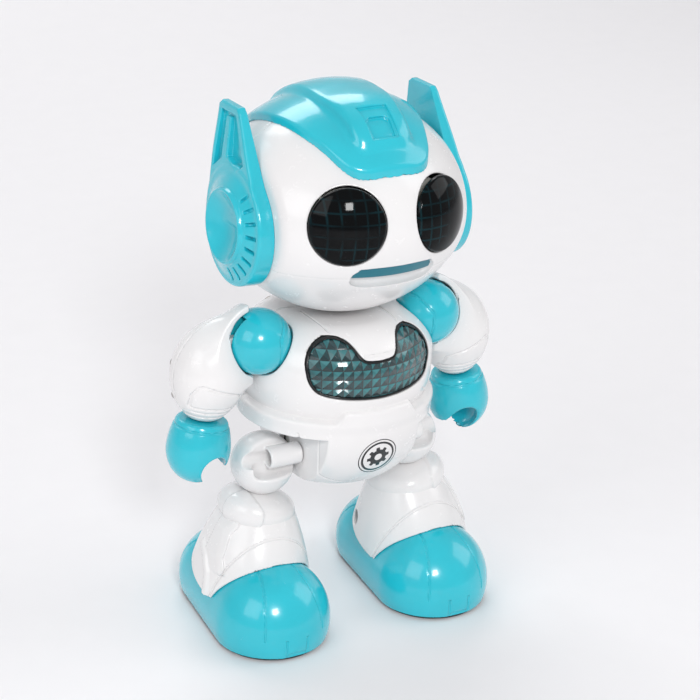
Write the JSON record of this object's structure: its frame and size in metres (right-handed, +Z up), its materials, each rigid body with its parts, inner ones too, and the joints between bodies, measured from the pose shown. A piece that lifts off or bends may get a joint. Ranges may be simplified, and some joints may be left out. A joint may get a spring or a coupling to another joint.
{
  "type": "toy_robot",
  "caption": "Battery walking toy robot in white and teal plastic, with domed eyes, disc ears, claw hands and bell boots.",
  "frame": {"origin": "On the ground under the middle of the bounding box, between the feet.", "axes": "+Z up; the robot faces -Y; its left side is +X."},
  "size_m": [0.1364, 0.095, 0.206],
  "materials": {
    "white": "gloss",
    "teal": "gloss",
    "lens_black": "gloss",
    "lens_teal": "gloss",
    "dark_plastic": "matte",
    "light_plastic": "matte",
    "green_board": "satin",
    "cell_foil": "satin",
    "steel": "satin",
    "brass_gear": "satin",
    "rubber_roller": "matte"
  },
  "bodies": {
    "torso": {"torso_front_shell": "white", "torso_rear_shell": "white", "chest_lens": "lens_teal", "chest_reflector": "lens_teal", "chest_leds": "light_plastic", "circuit_board": "green_board", "speaker": "dark_plastic", "battery_box": "dark_plastic", "battery_door": "white", "battery_cells": "cell_foil", "battery_contacts": "steel", "torso_screws": "steel", "hip_pins": "steel", "hip_screws": "steel", "motor": "steel", "gearbox_frame": "dark_plastic", "power_switch_body": "dark_plastic", "neck_post": "light_plastic"},
    "head": {"head_front_shell": "white", "head_rear_shell": "white", "crest_cap": "teal", "eye_lens_right": "lens_black", "eye_lens_left": "lens_black", "eye_reflectors": "light_plastic", "mouth_insert": "dark_plastic", "eye_led_board": "green_board", "head_screws": "steel", "ear_right": "teal", "ear_left": "teal"},
    "crank": {"crank_gear": "light_plastic"},
    "pinion": {"motor_pinion": "brass_gear"},
    "switch": {"power_switch": "dark_plastic"},
    "shoulder_right_body": {"shoulder_right": "teal", "shoulder_clip_right": "steel", "arm_pin_right": "steel"},
    "arm_right_body": {"arm_front_right": "white", "arm_rear_right": "white", "arm_screws_right": "steel"},
    "hand_right_body": {"hand_right": "teal"},
    "leg_right_body": {"thigh_right": "white", "shin_right": "white", "boot_right": "white", "shoe_right": "teal", "sole_right": "dark_plastic", "leg_screws_right": "steel"},
    "rollers_right_body": {"rollers_right": "rubber_roller"},
    "shoulder_left_body": {"shoulder_left": "teal", "shoulder_clip_left": "steel", "arm_pin_left": "steel"},
    "arm_left_body": {"arm_front_left": "white", "arm_rear_left": "white", "arm_screws_left": "steel"},
    "hand_left_body": {"hand_left": "teal"},
    "leg_left_body": {"thigh_left": "white", "shin_left": "white", "boot_left": "white", "shoe_left": "teal", "sole_left": "dark_plastic", "leg_screws_left": "steel"},
    "rollers_left_body": {"rollers_left": "rubber_roller"}
  },
  "joints": [
    {"name": "head_turn", "type": "hinge", "parent": "torso", "child": "head", "pos_m": [0, 0.002, 0.122], "axis": [0, 0, 1], "range_deg": [-35, 35]},
    {"name": "shoulder_swing_right", "type": "hinge", "parent": "torso", "child": "shoulder_right_body", "pos_m": [-0.0355, -0.0075, 0.115], "axis": [-1, 0, 0], "range_deg": [-30, 90]},
    {"name": "arm_raise_right", "type": "hinge", "parent": "shoulder_right_body", "child": "arm_right_body", "pos_m": [-0.0355, -0.0075, 0.115], "axis": [0, 1, 0], "range_deg": [0, 12]},
    {"name": "wrist_turn_right", "type": "hinge", "parent": "arm_right_body", "child": "hand_right_body", "pos_m": [-0.05444, -0.0005, 0.08567], "axis": [0.1392, 0, 0.9903], "range_deg": [-90, 90]},
    {"name": "shoulder_swing_left", "type": "hinge", "parent": "torso", "child": "shoulder_left_body", "pos_m": [0.0355, -0.0075, 0.115], "axis": [-1, 0, 0], "range_deg": [-30, 90]},
    {"name": "arm_raise_left", "type": "hinge", "parent": "shoulder_left_body", "child": "arm_left_body", "pos_m": [0.0355, -0.0075, 0.115], "axis": [0, -1, 0], "range_deg": [0, 12]},
    {"name": "wrist_turn_left", "type": "hinge", "parent": "arm_left_body", "child": "hand_left_body", "pos_m": [0.05444, -0.0005, 0.08567], "axis": [-0.1392, 0, 0.9903], "range_deg": [-90, 90]},
    {"name": "hip_swing_right", "type": "hinge", "parent": "torso", "child": "leg_right_body", "pos_m": [-0.025, -0.01, 0.0685], "axis": [1, 0, 0], "range_deg": [-10, 10]},
    {"name": "hip_swing_left", "type": "hinge", "parent": "torso", "child": "leg_left_body", "pos_m": [0.025, -0.01, 0.0685], "axis": [1, 0, 0], "range_deg": [-10, 10]},
    {"name": "roller_spin_right", "type": "hinge", "parent": "leg_right_body", "child": "rollers_right_body", "pos_m": [-0.035, 0.014, 0.00415], "axis": [1, 0, 0], "continuous": true},
    {"name": "roller_spin_left", "type": "hinge", "parent": "leg_left_body", "child": "rollers_left_body", "pos_m": [0.035, 0.014, 0.00415], "axis": [1, 0, 0], "continuous": true},
    {"name": "crank_spin", "type": "hinge", "parent": "torso", "child": "crank", "pos_m": [0.012, 0.002, 0.0675], "axis": [1, 0, 0], "continuous": true},
    {"name": "motor_spin", "type": "hinge", "parent": "torso", "child": "pinion", "pos_m": [0.012, 0.0125, 0.0675], "axis": [1, 0, 0], "continuous": true},
    {"name": "switch_slide", "type": "slide", "parent": "torso", "child": "switch", "axis": [1, 0, 0], "range_m": [0, 0.004]}
  ],
  "couplings": [
    {"joint": "hip_swing_left", "follows": "hip_swing_right", "ratio": -1},
    {"joint": "motor_spin", "follows": "crank_spin", "ratio": -2}
  ]
}
